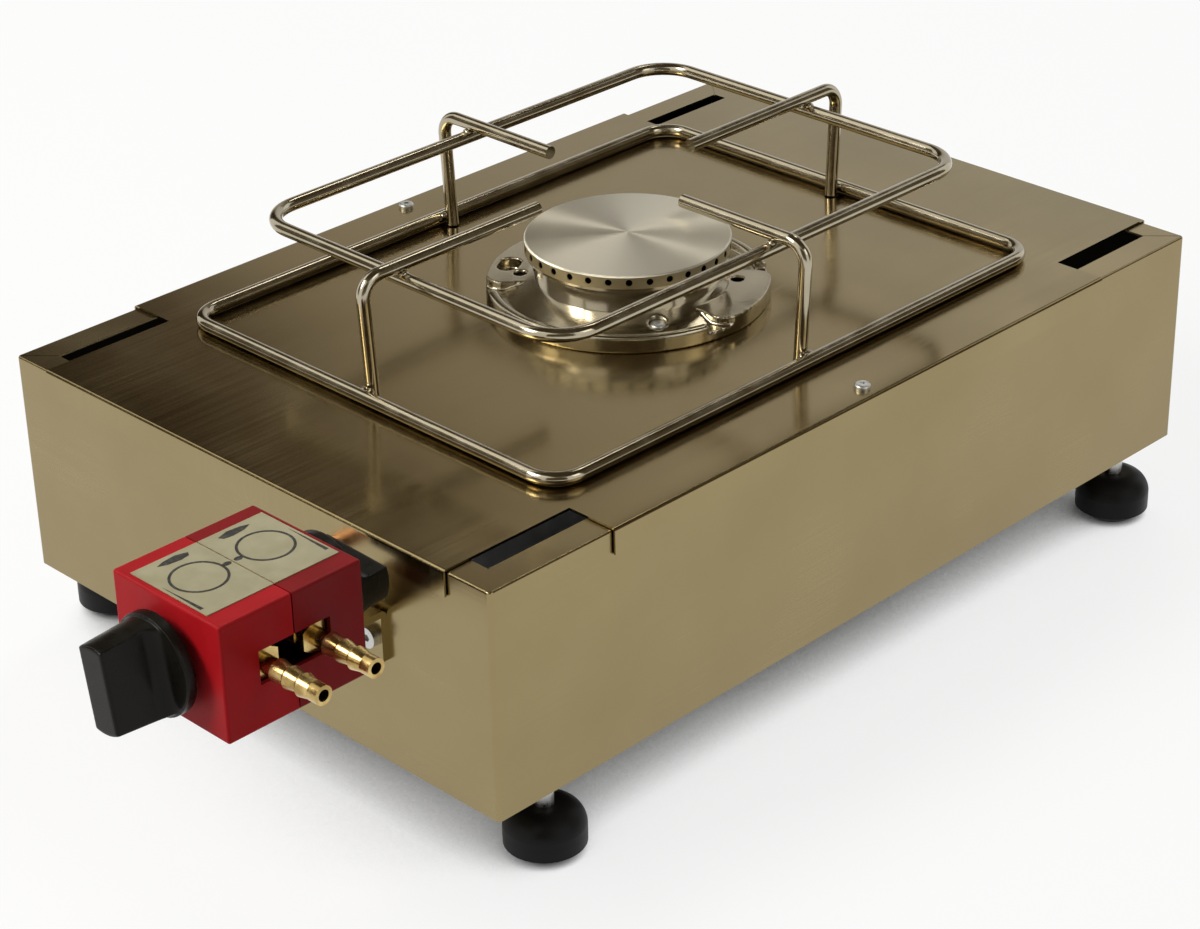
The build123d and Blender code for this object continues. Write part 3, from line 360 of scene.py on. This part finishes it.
# %% Cast aluminium
cast_finish = Finish("cast aluminium", (0.44, 0.39, 0.28), metallic=1.0, roughness=0.2)
cast_skin = cast_finish.noise(cast_finish.surface(), scale=420.0)
cast_patches = cast_finish.noise(cast_finish.surface(), scale=38.0)
cast_colour = cast_finish.blend(cast_patches, (0.34, 0.29, 0.19), (0.52, 0.47, 0.36))
cast_finish.feed("Base Color", cast_colour)
cast_finish.feed("Roughness", cast_finish.varied(cast_patches, start=0.12, end=0.25))
cast_finish.feed("Normal", cast_finish.bump(cast_skin, depth=0.00006, strength=0.35))
dress(cast_finish, "burner_base", "mixing_tube", "injector_holder")

# %% [markdown]
# ## Brass and copper
#
# Hose ends, tap bodies and fittings are turned brass, and the gas pipe is copper. Both are
# bright where they are touched and browner where oil and dust stay, which a large noise
# stands in for. A second, thin noise draws the marks of the tool.

# %% Brass and copper
def tarnished(name, bright, dull, roughness):
    """Turned metal with brown patches."""
    finish = Finish(name, bright, metallic=1.0, roughness=roughness)
    tarnish = finish.noise(finish.surface(), scale=150.0, detail=4.0)
    fine_lines = finish.surface(stretch=(1200.0, 60.0, 60.0))
    marks = finish.noise(fine_lines, scale=1.0, detail=2.0)
    patches = finish.rescaled(tarnish, low=0.35, high=0.65)
    finish.feed("Base Color", finish.blend(patches, dull, bright))
    wear = finish.varied(tarnish, start=roughness * 0.75, end=roughness * 1.4)
    finish.feed("Roughness", wear)
    finish.feed("Normal", finish.bump(marks, depth=0.00002, strength=0.4))
    return finish


brass = tarnished("brass", bright=(0.66, 0.49, 0.2), dull=(0.36, 0.24, 0.085),
                  roughness=0.22)
copper = tarnished("copper pipe", bright=(0.76, 0.44, 0.28), dull=(0.5, 0.26, 0.15),
                   roughness=0.3)
dress(brass, "injector_jet", "pipe_nuts", "outlet_elbow", "tap_manifold",
      *(f"{side}_{part}" for side in sides for part in ("tap_body", "tap_plug", "hose_barb")))
dress(copper, "gas_pipe")

# %% [markdown]
# ## Zinc-plated steel
#
# Screws, nuts, spindles and the feet's studs have a thin bluish-grey zinc coat with a cloudy
# spangle.

# %% Zinc plate
zinc = Finish("zinc plate", (0.6, 0.6, 0.58), metallic=1.0, roughness=0.34)
zinc_cloud = zinc.noise(zinc.surface(), scale=260.0)
zinc.feed("Base Color", zinc.blend(zinc_cloud, (0.46, 0.46, 0.45), (0.7, 0.7, 0.67)))
zinc.feed("Roughness", zinc.varied(zinc_cloud, start=0.25, end=0.45))
zinc.feed("Normal", zinc.bump(zinc_cloud, depth=0.00002, strength=0.4))
dress(zinc, "lid_screws", "lid_nuts", "burner_screws", "bracket_screws",
      "bracket_nuts", "block_bolts", "foot_nuts", "front_spindle", "rear_spindle",
      *(f"{foot}_foot_stud" for foot in feet))

# %% [markdown]
# ## Red tap covers
#
# The two covers are enamelled in one red. The rear one gets a darker copy of it, which is
# painted shade. Paint is never quite flat, so a soft, shallow relief breaks its reflections,
# and a second noise dulls it a little in patches.

# %% Red enamel
def red_enamel(name, deep, clear):
    """Enamel that varies between a deep and a clear red."""
    finish = Finish(name, clear, metallic=0.0, roughness=0.5, specular_ior_level=0.15)
    peel = finish.noise(finish.surface(), scale=520.0, detail=2.0)
    patches = finish.noise(finish.surface(), scale=60.0, detail=4.0)
    finish.feed("Base Color", finish.blend(patches, deep, clear))
    finish.feed("Roughness", finish.varied(patches, start=0.42, end=0.58))
    finish.feed("Normal", finish.bump(peel, depth=0.00004, strength=0.4))
    return finish


front_red = red_enamel("red enamel",
                       deep=(0.38, 0.004, 0.008), clear=(0.54, 0.008, 0.013))
# painted shade: the rear cover gets a darker copy of the same red
rear_red_painted_shade = red_enamel("red enamel in painted shade",
                      deep=(0.2, 0.004, 0.006), clear=(0.3, 0.006, 0.009))
dress(front_red, "front_tap_cover")
dress(rear_red_painted_shade, "rear_tap_cover")

# %% [markdown]
# ## Legend plates
#
# The plates on top of the block are pale printed sheet. Grease and dust yellow them in
# spots, so one noise sets colour, roughness and a faint relief together.

# %% Legend plates
plate_finish = Finish("legend plate", (0.47, 0.43, 0.29), metallic=0.0, roughness=0.5,
                      specular_ior_level=0.3)
plate_dirt = plate_finish.noise(plate_finish.surface(), scale=120.0, detail=4.0)
plate_colour = plate_finish.blend(plate_dirt, (0.36, 0.325, 0.19), (0.52, 0.48, 0.31))
plate_finish.feed("Base Color", plate_colour)
plate_finish.feed("Roughness", plate_finish.varied(plate_dirt, start=0.38, end=0.55))
plate_finish.feed("Normal", plate_finish.bump(plate_dirt, depth=0.00002, strength=0.3))
dress(plate_finish, "front_legend_plate", "rear_legend_plate")

# %% [markdown]
# ## Knobs and rubber
#
# The knobs are glossy black moulded plastic, whose flow leaves soft waves in the gloss. Feet
# and grommet are black rubber, duller, with a bloom on it and a fine moulded grain.

# %% Knob plastic
plastic = Finish("black knob plastic", (0.009, 0.008, 0.005), metallic=0.0, roughness=0.3,
                 specular_ior_level=0.14)
plastic_flow = plastic.noise(plastic.surface(), scale=110.0)
plastic_colour = plastic.blend(plastic_flow, (0.006, 0.005, 0.004), (0.014, 0.012, 0.008))
plastic.feed("Base Color", plastic_colour)
plastic.feed("Roughness", plastic.varied(plastic_flow, start=0.2, end=0.36))
plastic.feed("Normal", plastic.bump(plastic_flow, depth=0.00008, strength=0.35))
dress(plastic, "front_knob", "rear_knob")

# %% Rubber
rubber = Finish("black rubber", (0.012, 0.012, 0.012), metallic=0.0, roughness=0.45,
                specular_ior_level=0.15)
rubber_grain = rubber.noise(rubber.surface(), scale=900.0, detail=2.0)
rubber_bloom = rubber.noise(rubber.surface(), scale=70.0)
rubber_colour = rubber.blend(rubber_bloom, (0.006, 0.006, 0.006), (0.018, 0.017, 0.017))
rubber.feed("Base Color", rubber_colour)
rubber.feed("Roughness", rubber.varied(rubber_bloom, start=0.34, end=0.55))
rubber.feed("Normal", rubber.bump(rubber_grain, depth=0.00005, strength=0.5))
dress(rubber, "pipe_grommet", *(f"{foot}_foot_pad" for foot in feet))

# %% [markdown]
# ## Softened castings and mouldings
#
# A casting and a moulded knob have no sharp edges. Bevelling each edge by hand would miss
# where curved faces meet. A merged copy that is remeshed in small cells and relaxed gets
# every edge a little rounded at once, as the mould does.

# %% Soften the burner base and the knobs
merge_distance = 0.00001


def softened(node, name, cell, rounds):
    """A copy of a part with all its edges rounded, in place of the part."""
    shape = bmesh.new()
    shape.from_mesh(parts[node].data)
    bmesh.ops.remove_doubles(shape, verts=shape.verts, dist=merge_distance)
    bmesh.ops.recalc_face_normals(shape, faces=shape.faces)
    rough = bpy.data.meshes.new(name + " rough")
    shape.to_mesh(rough)
    shape.free()
    piece = placed(name, rough)
    remesh = piece.modifiers.new("cells", "REMESH")
    remesh.mode = "VOXEL"
    remesh.voxel_size = cell
    relax = piece.modifiers.new("relax", "SMOOTH")
    relax.factor = 0.5
    relax.iterations = rounds
    evaluated = piece.evaluated_get(bpy.context.evaluated_depsgraph_get())
    piece.data = bpy.data.meshes.new_from_object(evaluated)
    piece.modifiers.clear()
    piece.data.name = name
    piece.data.shade_smooth()
    piece.data.materials.clear()
    piece.data.materials.append(parts[node].material_slots[0].material)
    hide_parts(node)
    print(name, len(piece.data.polygons), "faces")
    return piece


base_casting = softened("burner_base", "burner_base_casting", cell=0.0006, rounds=4)
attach(base_casting, "root")
for side in sides:
    knob = softened(f"{side}_knob", f"{side}_knob_moulding", cell=0.0004, rounds=8)
    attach(knob, f"{side}_knob")

# %% [markdown]
# ## Welds on the pan support
#
# Each wire leg is welded to both loops. A weld is a small uneven bead that bridges two
# wires. Two little spheres, pressed flat and drawn out along the wire, overlap to give that
# shape. They are set a little unevenly, as a welder's hand would.

# %% Weld beads
lower_low, lower_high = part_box("support_lower_loop")
upper_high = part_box("support_upper_loop")[1]
support_middle = (lower_low + lower_high) / 2
wire_radius = (lower_high.z - lower_low.z) / 2
lower_bead = (0.0021, 0.0017, 0.0014)  # half length, half width, half height
upper_bead = (0.0022, 0.0015, 0.0013)
lower_rise, upper_sink = 0.45 * wire_radius, 0.0004
lower_bead_z = (lower_low.z + lower_high.z) / 2 + lower_rise
upper_bead_z = upper_high.z - upper_sink
lower_shifts, upper_shifts = (-0.6, 0.7), (-0.75, 0.75)  # in wire radii
headings = (Vector((1, 0, 0)), Vector((0, 1, 0)), Vector((-1, 0, 0)), Vector((0, -1, 0)))


def bead(shape, place, along, size):
    """One drop of weld metal, longer along the wire it lies on."""
    turn = along.to_track_quat("X", "Z").to_matrix().to_4x4()
    stretch = Matrix.Diagonal((*size, 1.0))
    bmesh.ops.create_icosphere(shape, subdivisions=3, radius=1.0,
                               matrix=Matrix.Translation(place) @ turn @ stretch)


weld_shape = bmesh.new()
for heading in headings:
    along = Vector((-heading.y, heading.x, 0))
    reach = abs((lower_high - support_middle).dot(heading)) - 2 * wire_radius
    leg = support_middle + heading * reach
    for shift in lower_shifts:
        spot = Vector((leg.x, leg.y, lower_bead_z)) + along * shift * wire_radius
        bead(weld_shape, spot, along, lower_bead)
    reach = abs((upper_high - support_middle).dot(heading)) - wire_radius
    crossing = support_middle + heading * reach
    for shift in upper_shifts:
        spot = Vector((crossing.x, crossing.y, upper_bead_z)) + along * shift * wire_radius
        bead(weld_shape, spot, heading, upper_bead)
weld_mesh = bpy.data.meshes.new("support_welds")
weld_shape.to_mesh(weld_mesh)
weld_shape.free()
weld_mesh.shade_smooth()
weld_mesh.materials.append(wire_finish.material)
welds = placed("support_welds", weld_mesh)
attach(welds, "pan_support")
print("welds", len(weld_mesh.polygons), "faces")

# %% [markdown]
# ## Marks on the legend plates
#
# The plates carry generic marks only: a ring for each burner, a dot on it, a solid pointer
# beside it, and a wedge that grows the way the flame does. Printed ink has hardly any
# thickness, yet as thin solid shapes the marks stay crisp at any distance.
#
# All places on a plate are measured from its left end and from the seam between the plates.
# The rear plate is then the front one's mirror image.

# %% Ink
ink = Finish("printing ink", (0.03, 0.028, 0.024), metallic=0.0, roughness=0.5)
ink_noise = ink.noise(ink.surface(), scale=700.0)
ink_wear = ink.rescaled(ink_noise, low=0.45, high=0.75)
ink.feed("Base Color", ink.blend(ink_wear, (0.025, 0.023, 0.02), (0.09, 0.085, 0.07)))
ink.feed("Roughness", ink.varied(ink_noise, start=0.42, end=0.6))
ink_height = 0.00012
print("ink", ink.material.name)

# %% Legend marks
ring_centre = (0.021, 0.0155)
ring_radius = 0.0115
ring_line = 0.0011
dot_centre = (0.021, 0.0024)
dot_radius, dot_stretch = 0.0013, 1.5
pointer = ((0.0036, 0.0068), (0.0056, 0.0080), (0.0063, 0.0120), (0.0056, 0.0178),
           (0.0040, 0.0216), (0.0026, 0.0180), (0.0020, 0.0120))
wedge = ((0.0175, 0.0296), (0.040, 0.0284), (0.040, 0.0300))


def legend_marks(side, outward):
    """All marks of one plate, as one thin solid piece."""
    low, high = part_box(f"{side}_legend_plate")
    seam_y = low.y if outward > 0 else high.y
    shape = bmesh.new()

    # ring: a circle of edges, widened inwards
    bmesh.ops.create_circle(shape, cap_ends=False, radius=ring_radius, segments=72)
    inner = bmesh.ops.extrude_edge_only(shape, edges=shape.edges[:])
    inner_verts = [item for item in inner["geom"] if isinstance(item, bmesh.types.BMVert)]
    shrink = 1 - ring_line / ring_radius
    bmesh.ops.scale(shape, verts=inner_verts, vec=(shrink, shrink, 1.0))
    bmesh.ops.translate(shape, verts=shape.verts, vec=(*ring_centre, 0.0))

    # dot where the ring comes nearest to the seam, pointer, and flame wedge
    dot = bmesh.ops.create_circle(shape, cap_ends=True, radius=dot_radius, segments=24)
    bmesh.ops.scale(shape, verts=dot["verts"], vec=(1.0, dot_stretch, 1.0))
    bmesh.ops.translate(shape, verts=dot["verts"], vec=(*dot_centre, 0.0))
    for outline in (pointer, wedge):
        shape.faces.new([shape.verts.new((*point, 0.0)) for point in outline])

    # mirror for the plate's side of the seam, thicken, and sink a little into the plate
    bmesh.ops.scale(shape, verts=shape.verts, vec=(1.0, outward, 1.0))
    bmesh.ops.recalc_face_normals(shape, faces=shape.faces)
    bmesh.ops.solidify(shape, geom=shape.faces[:], thickness=ink_height)
    lowest = min(vert.co.z for vert in shape.verts)
    rise = high.z - lowest - ink_height / 4
    bmesh.ops.translate(shape, verts=shape.verts, vec=(low.x, seam_y, rise))
    bmesh.ops.recalc_face_normals(shape, faces=shape.faces)

    mesh = bpy.data.meshes.new(f"{side}_legend_marks")
    shape.to_mesh(mesh)
    shape.free()
    mesh.materials.append(ink.material)
    marks = placed(mesh.name, mesh)
    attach(marks, "root")
    print(marks.name, len(mesh.polygons), "faces")


legend_marks("front", outward=-1.0)
legend_marks("rear", outward=1.0)

# %% [markdown]
# ## Floor and surroundings
#
# The photograph shows the range on plain white. A floor that only glows would lose the
# shadow, and one that is only lit would turn grey. So to the camera, and in reflections, it
# is part lit and part glowing, and to the soft light that fills the shadows it is a plain
# pale floor. The glow fades where something stands close over the floor, which leaves the
# shadow its depth. The surroundings are treated the same way.

# %% Helpers for floor and world
def grey(nodes, kind, level):
    """A shader of one grey."""
    shader = nodes.new(kind)
    shader.inputs["Color"].default_value = (level, level, level, 1.0)
    return shader


def seen_or_reflected(nodes, links):
    """1 for a ray from the camera, a reflection or a ray through glass, 0 for soft light."""
    path = nodes.new("ShaderNodeLightPath")
    total = path.outputs["Is Camera Ray"]
    for name in ("Is Glossy Ray", "Is Transmission Ray"):
        add = nodes.new("ShaderNodeMath")
        add.operation = "ADD"
        add.use_clamp = True
        links.new(total, add.inputs[0])
        links.new(path.outputs[name], add.inputs[1])
        total = add.outputs["Value"]
    return total


def split_by_ray(nodes, links, soft, seen, output_kind):
    """One shader for soft light, another for what is seen or reflected."""
    mix = nodes.new("ShaderNodeMixShader")
    links.new(seen_or_reflected(nodes, links), mix.inputs[0])
    links.new(soft.outputs[0], mix.inputs[1])
    links.new(seen.outputs[0], mix.inputs[2])
    links.new(mix.outputs[0], nodes.new(output_kind).inputs["Surface"])


print("helpers for floor and world ready")

# %% Floor
floor_size = 6.0  # from the middle to an edge
floor_lit, floor_glowing, floor_soft = 0.2, 0.82, 0.5
shadow_reach = 0.3
shadow_full, shadow_none = 0.12, 0.5  # openness to the sky, from 0 to 1

floor_shape = bmesh.new()
bmesh.ops.create_grid(floor_shape, x_segments=1, y_segments=1, size=floor_size)
floor_mesh = bpy.data.meshes.new("floor")
floor_shape.to_mesh(floor_mesh)
floor_shape.free()
floor = placed("floor", floor_mesh)

floor_finish = bpy.data.materials.new("pale floor")
floor_finish.use_nodes = True
nodes, links = floor_finish.node_tree.nodes, floor_finish.node_tree.links
nodes.clear()
openness = nodes.new("ShaderNodeAmbientOcclusion")
openness.samples = 12
openness.inputs["Distance"].default_value = shadow_reach
free = nodes.new("ShaderNodeMapRange")
free.inputs["From Min"].default_value = shadow_full
free.inputs["From Max"].default_value = shadow_none
glow = grey(nodes, "ShaderNodeEmission", floor_glowing)
links.new(openness.outputs["AO"], free.inputs["Value"])
links.new(free.outputs["Result"], glow.inputs["Strength"])
seen_floor = nodes.new("ShaderNodeAddShader")
links.new(grey(nodes, "ShaderNodeBsdfDiffuse", floor_lit).outputs[0], seen_floor.inputs[0])
links.new(glow.outputs[0], seen_floor.inputs[1])
soft_floor = grey(nodes, "ShaderNodeBsdfDiffuse", floor_soft)
split_by_ray(nodes, links, soft_floor, seen_floor, "ShaderNodeOutputMaterial")
floor_mesh.materials.append(floor_finish)
print("floor", tuple(floor.dimensions))

# %% World
world_soft, world_seen = 0.22, 1.0

world = bpy.data.worlds.new("white studio")
world.use_nodes = True
bpy.context.scene.world = world
nodes, links = world.node_tree.nodes, world.node_tree.links
nodes.clear()
split_by_ray(nodes, links, grey(nodes, "ShaderNodeBackground", world_soft),
             grey(nodes, "ShaderNodeBackground", world_seen), "ShaderNodeOutputWorld")
print("world", world.name)

# %% [markdown]
# ## Lamps
#
# Three large soft lamps light the range: a strong one at the front left, a weak one on the
# right and one at the rear left. Large lamps give the soft, even light of a catalogue
# picture.

# %% Lamps
lamp_target = Vector((0, 0, 0.1))
lamp_colour = (1.0, 0.98, 0.94)


def soft_lamp(name, place, size, power):
    """A square lamp that faces the range."""
    light = bpy.data.lights.new(name, "AREA")
    light.shape = "SQUARE"
    light.size = size
    light.energy = power
    light.color = lamp_colour
    lamp = placed(name, light)
    lamp.location = place
    facing = (lamp_target - Vector(place)).to_track_quat("-Z", "Y")
    lamp.rotation_euler = facing.to_euler()
    print(name, power, "W")


soft_lamp("key lamp", (-1.0, -1.9, 1.9), size=1.1, power=50.0)
soft_lamp("right lamp", (2.3, 0.6, 1.7), size=1.0, power=4.0)
soft_lamp("back lamp", (-1.0, 1.9, 2.4), size=1.0, power=20.0)

# %% [markdown]
# ## Cards
#
# Bright metal shows what stands round it more than the lamps, so a studio sets up cards.
# Only reflections see them. Left and right are meant here as the camera sees them.
#
# A long card behind is what the lid mirrors to the camera. It goes from brown at its upper
# left to pale at its lower right, and the lid takes on that shade. A dark card above it and
# dark cards on the other sides give the round parts their dark edges. Overhead is a dark
# card and, over it, a wider one that goes from dark on the right to pale on the left, so
# that the round wires get a pale line on one side only.

# %% Paint for cards
def card_paint(name, across, stops):
    """Glowing paint whose colour follows one direction, as set by a few stops."""
    paint = bpy.data.materials.new(name)
    paint.use_nodes = True
    nodes, links = paint.node_tree.nodes, paint.node_tree.links
    nodes.clear()
    coordinates = nodes.new("ShaderNodeTexCoord")
    along = nodes.new("ShaderNodeVectorMath")
    along.operation = "DOT_PRODUCT"
    along.inputs[1].default_value = across
    links.new(coordinates.outputs["Object"], along.inputs[0])
    span = nodes.new("ShaderNodeMapRange")
    first, last = stops[0][0], stops[-1][0]
    span.inputs["From Min"].default_value = first
    span.inputs["From Max"].default_value = last
    links.new(along.outputs["Value"], span.inputs["Value"])
    ramp = nodes.new("ShaderNodeValToRGB")
    for place, _ in stops[1:-1]:
        ramp.color_ramp.elements.new((place - first) / (last - first))
    for element, (_, colour) in zip(ramp.color_ramp.elements, stops):
        element.color = (*colour, 1.0)
    links.new(span.outputs["Result"], ramp.inputs["Fac"])
    glow = nodes.new("ShaderNodeEmission")
    links.new(ramp.outputs["Color"], glow.inputs["Color"])
    out = nodes.new("ShaderNodeOutputMaterial")
    links.new(glow.outputs[0], out.inputs["Surface"])
    return paint


brown_to_pale = card_paint("brown to pale", (0.707, 0.707, -0.9), (
    (-1.42, (0.045, 0.032, 0.018)), (-1.28, (0.17, 0.13, 0.1)),
    (-1.13, (0.52, 0.48, 0.41)), (-0.8, (0.6, 0.58, 0.56)), (-0.3, (0.68, 0.68, 0.7))))
dark = card_paint("dark", (0.0, 0.0, 1.0), (
    (0.0, (0.16, 0.13, 0.09)), (2.5, (0.07, 0.055, 0.035))))
dark_to_pale = card_paint("dark to pale", (-0.707, -0.707, 0.0), (
    (-1.2, (0.07, 0.055, 0.035)), (0.0, (0.3, 0.27, 0.21)), (1.2, (1.3, 1.27, 1.18))))
print("paints", brown_to_pale.name, dark.name, dark_to_pale.name)

# %% Cards
def away(heading, distance, height):
    """Place at a heading in degrees, a distance and a height."""
    turn = math.radians(heading)
    return (distance * math.cos(turn), distance * math.sin(turn), height)


def reflected_card(name, place, width, height, paint):
    """Card facing the range that only reflections see."""
    shape = bmesh.new()
    bmesh.ops.create_grid(shape, x_segments=1, y_segments=1, size=0.5)
    bmesh.ops.scale(shape, verts=shape.verts, vec=(width, height, 1.0))
    outwards = Vector((place[0], place[1], 0)) if place[0] or place[1] else Vector((0, 0, 1))
    facing = outwards.to_track_quat("Z", "Y").to_matrix().to_4x4()
    bmesh.ops.transform(shape, verts=shape.verts, matrix=Matrix.Translation(place) @ facing)
    mesh = bpy.data.meshes.new(name)
    shape.to_mesh(mesh)
    shape.free()
    mesh.materials.append(paint)
    card = placed(name, mesh)
    for ray in ("camera", "diffuse", "transmission", "volume_scatter", "shadow"):
        setattr(card, f"visible_{ray}", False)
    print(name, width, "x", height, "m")


# name, place, width, height, paint
reflected_card("card behind", away(135, 1.8, 0.7), 3.2, 1.3, brown_to_pale)
reflected_card("card above the first", away(135, 1.8, 2.0), 3.2, 1.3, dark)
reflected_card("card overhead", (0, 0, 2.6), 3.0, 3.0, dark)
reflected_card("wide card overhead", (0, 0, 2.75), 5.6, 5.6, dark_to_pale)
reflected_card("card by the camera", away(-43, 2.3, 1.1), 2.4, 1.8, dark)
reflected_card("card on the left", away(-140, 2.2, 1.0), 1.6, 1.7, dark)
reflected_card("card on the right", away(45, 2.2, 1.0), 1.6, 1.7, dark)

# %% [markdown]
# ## Last step
#
# Colours are shown as they are, without a film look.

# %% Colours, and finish
bpy.context.scene.view_settings.view_transform = "Standard"
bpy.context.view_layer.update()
